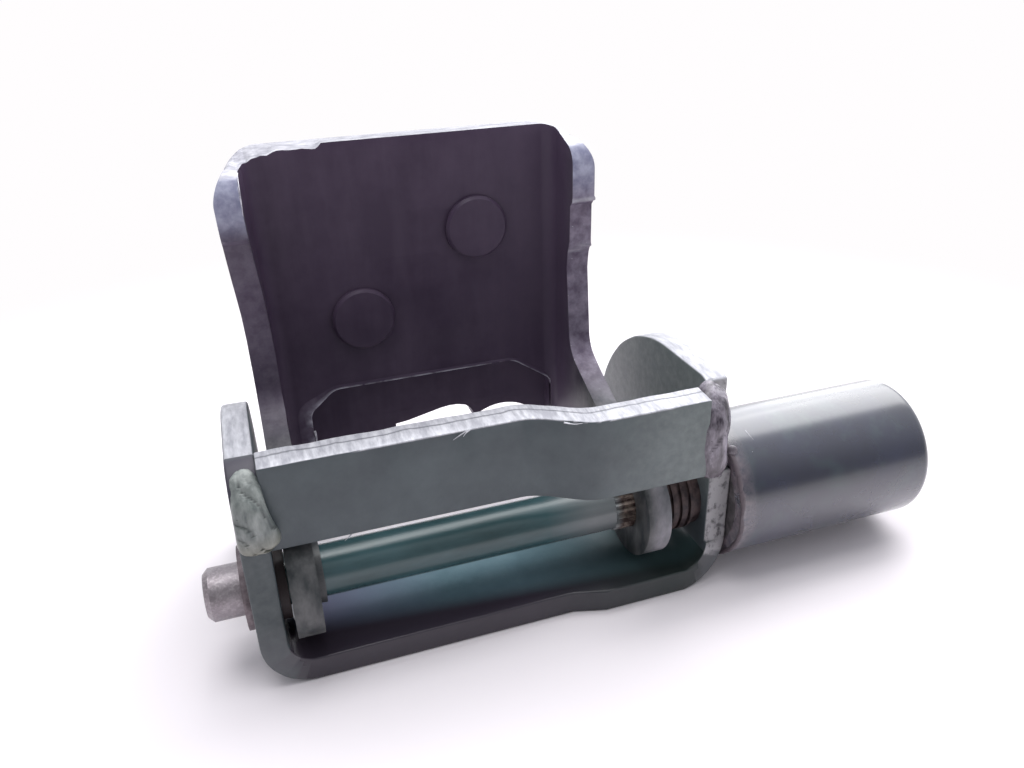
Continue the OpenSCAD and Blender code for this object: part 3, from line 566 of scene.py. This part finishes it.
def bracket_piece():
    """The folded bracket: the solid's own shape with its edges rounded by 0.7 mm and its torn edges wandering
    by 0.15 mm."""
    p, faces, n = rounded_copy("body_bracket", SHEET_ROUND, [
        (0, -44, 46, 5), (2, 14, 54, 5), (1, -4, -1, 0.6)])
    cheek = np.abs(p[:, 0]) > INNER_X - 0.3
    edge = (cheek & (np.abs(n[:, 0]) < 0.55) & (p[:, 2] > 3)) | (np.abs(n[:, 1]) > 0.75)
    sheared_and_lit = np.where(edge, 0.6, 0.0)
    sheared_and_lit[edge & (np.abs(p[:, 0]) < INNER_X - 2)] = 0.15
    channel = (np.abs(p[:, 0]) < INNER_X) & (p[:, 2] < 12) & ((n[:, 2] > 0.3) | (n[:, 1] < -0.5))
    # Painted highlight: the cheeks' upward-facing upper edges get the bare steel colour, partly standing for
    # the light from above
    upper = edge & cheek & (n[:, 2] > 0.6) & (p[:, 2] > 20)
    bright = np.where(upper & (p[:, 1] > np.where(p[:, 0] < 0, -2.4, -7.2)), 1.0, 0.0)
    # Painted shade at the left cheek's front top corner, where the top face turns down to the front
    corner_shade = 0.8 * ease(p[:, 1], -1.0, -4.0) * ease(p[:, 2], 46, 52) * (cheek & (p[:, 0] < 0))
    pitted = np.where(edge & (p[:, 0] > INNER_X - 0.3) & (n[:, 1] < -0.4) & (p[:, 2] > 8), 0.8, 0.0)
    moved = p + n * (0.15 * wave(p, 7, 5) * edge * (p[:, 2] > 1))[:, None]
    # The paler film rises up the right cheek, partly painted light on its upper part
    piece = mesh_piece("folded_bracket", moved, faces, "bracket", bracket_paint,
                       {"sheared_and_lit": sheared_and_lit, "bright": bright, "pitted": pitted, "corner_shade": corner_shade,
                        "channel": channel, "scuffed_and_lit": ease(p[:, 2], 20, 34) * (p[:, 0] > INNER_X - 0.3)})
    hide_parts("body_bracket")


def plate_piece():
    """The cross plate: the solid's own shape with its edges rounded by 0.4 mm. Its upper edge is painted as
    bare steel, partly bare from the shearing and partly a painted highlight from the light above, and the back
    rim of that edge stands up and out by 0.5 mm as a shearing burr. The right end, which the weld run covers,
    is drawn in by 1.5 mm."""
    p, faces, n = rounded_copy("cross_plate", PLATE_ROUND, [(0, -50, 48, 2.5)])
    top = n[:, 2] > 0.5
    sheared_and_lit = np.where(top | (n[:, 2] < -0.5) | (np.abs(n[:, 0]) > 0.8), 0.6, 0.0)
    across = np.clip((p[:, 1] - plate_front(p[:, 0])) / PLATE_T, 0, 1)
    burr = BURR_H * ease(across, 0.75, 0.95) * ease(p[:, 2], PLATE_LOW + 18, PLATE_LOW + 20)
    moved = p + n * (0.1 * wave(p, 5, 8) * top * (across < 0.5))[:, None]
    moved[:, 0] -= PLATE_DRAWN_IN * ease(p[:, 0], 40, 48)
    moved[:, 1:] += burr[:, None] * (1 + 0.3 * wave(p, 6, 9)[:, None]) * np.array([1.0, 0.8])
    # Painted highlight: the upper edge's bare steel colour stands partly for the light from above
    piece = mesh_piece("cross_plate_sheet", moved, faces, "bracket", bracket_paint, {
        "sheared_and_lit": sheared_and_lit, "bright": np.where(top, 1.0, 0.0), "across": across,
        "scuffed_and_lit": 0.8 * ease(p[:, 0], 12, 46)})
    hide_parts("cross_plate")


def housing_piece():
    """The spring housing: a closed profile of radius over X turned round the rod's axis, 3.5 mm thick, with its
    outer rim at the far end rounded to 2.4 mm."""
    a = np.linspace(0, np.pi / 2, 9)
    end = [(HOUSING_X - RIM_ROUND + RIM_ROUND * math.sin(b), HOUSING_R - RIM_ROUND + RIM_ROUND * math.cos(b))
           for b in a]
    run = [(x, HOUSING_R) for x in np.linspace(HALF_W, HOUSING_X - 4, 12)]
    profile = np.array([(HALF_W, HOUSING_R - HOUSING_WALL), *run, *end, (HOUSING_X, HOUSING_R - HOUSING_WALL)])
    v = np.linspace(0, 2 * np.pi, 128, endpoint=False)[None, :]
    x, r = profile[:, :1], profile[:, 1:]
    points = np.stack(np.broadcast_arrays(x, r * np.cos(v), ROD_Z + r * np.sin(v)), -1).reshape(-1, 3)
    k, sides = len(profile), v.size
    i, j = np.meshgrid(np.arange(k), np.arange(sides), indexing="ij")
    up, on = (i + 1) % k, (j + 1) % sides
    faces = np.stack([i * sides + j, up * sides + j, up * sides + on, i * sides + on], -1).reshape(-1, 4)
    piece = mesh_piece("spring_housing", points, faces.tolist(), "bracket", housing_paint)
    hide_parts("housing_tube")


def weld_pieces():
    """The two runs at the cross plate's ends, the ring round the housing's root, and on the right a drop of
    spatter. The right run is the cap on the fill between plate and cheek, so that node stays under it."""
    left = bead([(-54.3, -5.4, 54.6), (-54.3, -8.6, 52.4), (-54.1, -11.2, 48), (-53.7, -11.4, 43.5),
                 (-53.2, -10.9, 39.8), (-52.9, -10.4, 37.0)],
                [(0, -0.5, 0.9), (0, -0.8, 0.6), (0, -1, 0.2), (0.1, -1, 0), (0.1, -1, 0), (0.1, -1, -0.1)],
                [5.4, 6.2, 6.8, 7.8, 9.2, 8.6], [1.0, 1.6, 2.1, 2.5, 2.7, 2.2], 4, 1.5, 0.28, 21,
                sides=40, rings=240)
    right = bead([(52.0, -6.6, 54.4), (50.4, -11.6, 53.4), (49.5, -13.8, 48), (49.2, -14.0, 44),
                  (49.5, -14.0, 40), (50.6, -13.6, 36.5), (52.3, -12.0, 33.4)],
                 [(0.3, -0.6, 0.8), (0.3, -1, 0.3), (0.3, -1, 0), (0.3, -1, 0), (0.3, -1, 0), (0.25, -1, 0),
                  (0.2, -1, -0.3)],
                 [6.6, 8.4, 8.4, 7.6, 7.8, 8.4, 7.6], [2.0, 3.6, 4.2, 3.8, 3.8, 3.6, 3.0], 2, -0.35, 0.2, 31,
                 sides=44, rings=260)
    a = np.linspace(0, 2 * np.pi, 73)
    ring = np.stack([np.full_like(a, HALF_W + 0.4), np.cos(a) * (HOUSING_R + 0.3),
                     ROD_Z + np.sin(a) * (HOUSING_R + 0.3)], -1)
    way = np.stack([np.full_like(a, 0.7), np.cos(a), np.sin(a)], -1)
    root = bead(ring, way, [2.2, 2.2], [0.55, 0.55], 60, 0.4, 0.2, 41, sides=14, rings=560)
    drop = ball((58.2, -9.9, 36.3), (1.4, 1.3, 1.4), 7)
    for name, made, node, material in (("left_plate_bead", left, "left_plate_weld", left_weld_paint),
                                       ("right_plate_bead", joined(right, drop), None, right_weld_scale),
                                       ("housing_root_bead", root, "housing_weld_ring", root_weld_paint)):
        piece = mesh_piece(name, made[0], made[1], "bracket", material, made[2], sharp=1.2)
        if node:
            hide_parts(node)


def burrs_and_scratches():
    """Hair burrs on the cross plate's edges, one at the pocket's left wall, and two scratches that follow the
    housing's round, each a thin tapering curl."""
    front = float(plate_front(15.0))
    plate = joined(sliver([(-7.3, -8.9, 55.5), (-9.6, -9.5, 54.8), (-11.2, -9.6, 54.0)], 0.12, 0.16, 1),
                   sliver([(-7.0, -8.9, 55.4), (-8.2, -9.6, 55.2), (-8.9, -9.9, 54.5)], 0.12, 0.16, 2),
                   sliver([(12.6, front + 0.8, 55.4), (14.8, front - 0.3, 55.0), (16.6, front - 1.0, 55.3)],
                          0.14, 0.2, 3),
                   sliver([(-34.4, -8.8, 35.5), (-35.4, -9.2, 34.9), (-36.3, -9.3, 34.3)], 0.12, 0.16, 4))
    turn = np.radians([(107.3, 112, 118), (125.9, 140.5, 154.8)])
    spots = [(64.5, 64.7, 65.1), (63.6, 61.2, 59.5)]
    lines = [sliver(np.stack([x, np.cos(a) * HOUSING_R, ROD_Z + np.sin(a) * HOUSING_R], -1), 0.05, 0.14, 6)
             for x, a in zip(spots, turn)]
    fleck = sliver([(-35.9, 49.0, 30.6), (-35.7, 48.9, 28.5), (-35.8, 49.0, 26.4)], 0.2, 0.4, 8)
    for name, made, body, material in (("plate_burrs", plate, "bracket", bracket_paint),
                                       ("housing_scratches", joined(*lines), "bracket", bracket_paint),
                                       ("pocket_burr", fleck, "leaf", leaf_coat)):
        mesh_piece(name, made[0], made[1], body, material, made[2])


leaf_piece()
pocket_lip()
burrs_and_scratches()
bracket_piece()
plate_piece()
housing_piece()
weld_pieces()

for node, material in {
        "leaf_studs": leaf_coat, "right_plate_weld": right_weld_scale, "torsion_rod": rod_paint,
        "left_pivot_bush": flange_steel, "left_thrust_washer": washer_nylon, "left_collar": collar_steel,
        "right_spacer": bush_bronze,
        "right_pivot_bush": bush_bronze, "housing_end_plug": housing_paint,
        "spring_anchor": bare_steel, "torsion_spring": bare_steel, "spring_hub": bare_steel,
        "hub_circlip": bare_steel}.items():
    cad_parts[node].data.materials.clear()
    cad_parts[node].data.materials.append(material)


# Floor, light and camera

def floor_finish():
    """Pale matt floor that keeps the shadow near the hinge and is plain white further out."""
    material, tree, where = start("pale_matt_floor")
    far = add(tree, "VectorMath", {0: where}, "Value", operation="LENGTH")
    share = add(tree, "MapRange", {0: far, 1: 0.10, 2: 0.34}, interpolation_type="SMOOTHSTEP")
    rays = [add(tree, "LightPath", out=n) for n in ("Is Camera Ray", "Is Glossy Ray", "Is Transmission Ray")]
    seen = add(tree, "Math", {0: add(tree, "Math", {0: rays[0], 1: rays[1]}), 1: rays[2]})
    matt = add(tree, "BsdfDiffuse", {"Color": "#f9f3f7"})
    white = add(tree, "Emission", {"Color": "#fffdfe", "Strength": 1.0})
    mix = add(tree, "MixShader", {0: add(tree, "Math", {0: share, 1: seen}, **TIMES), 1: matt, 2: white})
    add(tree, "OutputMaterial", {0: mix})
    return material


bpy.ops.mesh.primitive_plane_add(size=40, location=(0, 0, 0))
floor = bpy.context.object
floor.name = "floor"
floor.data.materials.append(floor_finish())

# Studio: bright above and behind the hinge, dim on the side of the camera
world = bpy.data.worlds.new("studio")
bpy.context.scene.world = world
world.use_nodes = True
sky = world.node_tree
sky.nodes.clear()
way = add(sky, "TexCoord", out="Generated")
lift = add(sky, "VectorMath", {0: way, 1: (0.45, 0.62, 0.64)}, "Value", operation="DOT_PRODUCT")
level = add(sky, "MapRange", {0: lift, 1: -0.35, 2: 0.95, 3: 0.28, 4: 1.25}, interpolation_type="SMOOTHSTEP")
add(sky, "OutputWorld", {0: add(sky, "Background", {"Color": "#f4f6fb", "Strength": level})})


def stand(obj, x, y, z, spot):
    """Stands an object at a spot in metres with its three axes along the given directions."""
    m = np.eye(4)
    m[:3, 0], m[:3, 1], m[:3, 2], m[:3, 3] = x, y, z, spot
    obj.matrix_world = Matrix(m.tolist())


def softbox(name, spot, aim, wide, deep, watts):
    """A soft light of a width and depth at a spot in metres, turned towards an aim."""
    light = bpy.data.lights.new(name, "AREA")
    light.shape, light.size, light.size_y, light.energy = "RECTANGLE", wide, deep, watts
    obj = bpy.data.objects.new(name, light)
    obj.visible_camera = False
    bpy.context.scene.collection.objects.link(obj)
    z = np.array(spot, float) - np.array(aim, float)
    z /= np.linalg.norm(z)
    x = np.cross((0.0, 1.0, 0.05), z)
    x /= np.linalg.norm(x)
    stand(obj, x, np.cross(z, x), z, spot)


HINGE = (0.02, 0.0, 0.03)
softbox("window", (0.36, 0.30, 0.60), HINGE, 0.80, 0.50, 3.8)
softbox("back", (1.02, 1.30, 0.42), HINGE, 1.20, 0.45, 3.5)
softbox("overhead", (-0.10, 0.02, 0.60), (0.0, 0.0, 0.03), 0.30, 0.30, 1.2)

# The camera stands where the photograph was taken: its three axes and its place were fitted to the edges
camera = bpy.data.cameras.new("camera")
camera.sensor_fit, camera.sensor_width, camera.lens = "HORIZONTAL", 36.0, 29.84
camera.clip_start = 0.01
eye = bpy.data.objects.new("camera", camera)
bpy.context.scene.collection.objects.link(eye)
right, up, back = (0.9461, -0.3227, -0.0276), (0.16766, 0.41505, 0.89422), (-0.27711, -0.85064, 0.44679)
stand(eye, right, up, back, (-0.0471, -0.1618, 0.1448))
bpy.context.scene.camera = eye
bpy.context.scene.view_settings.view_transform = "Standard"
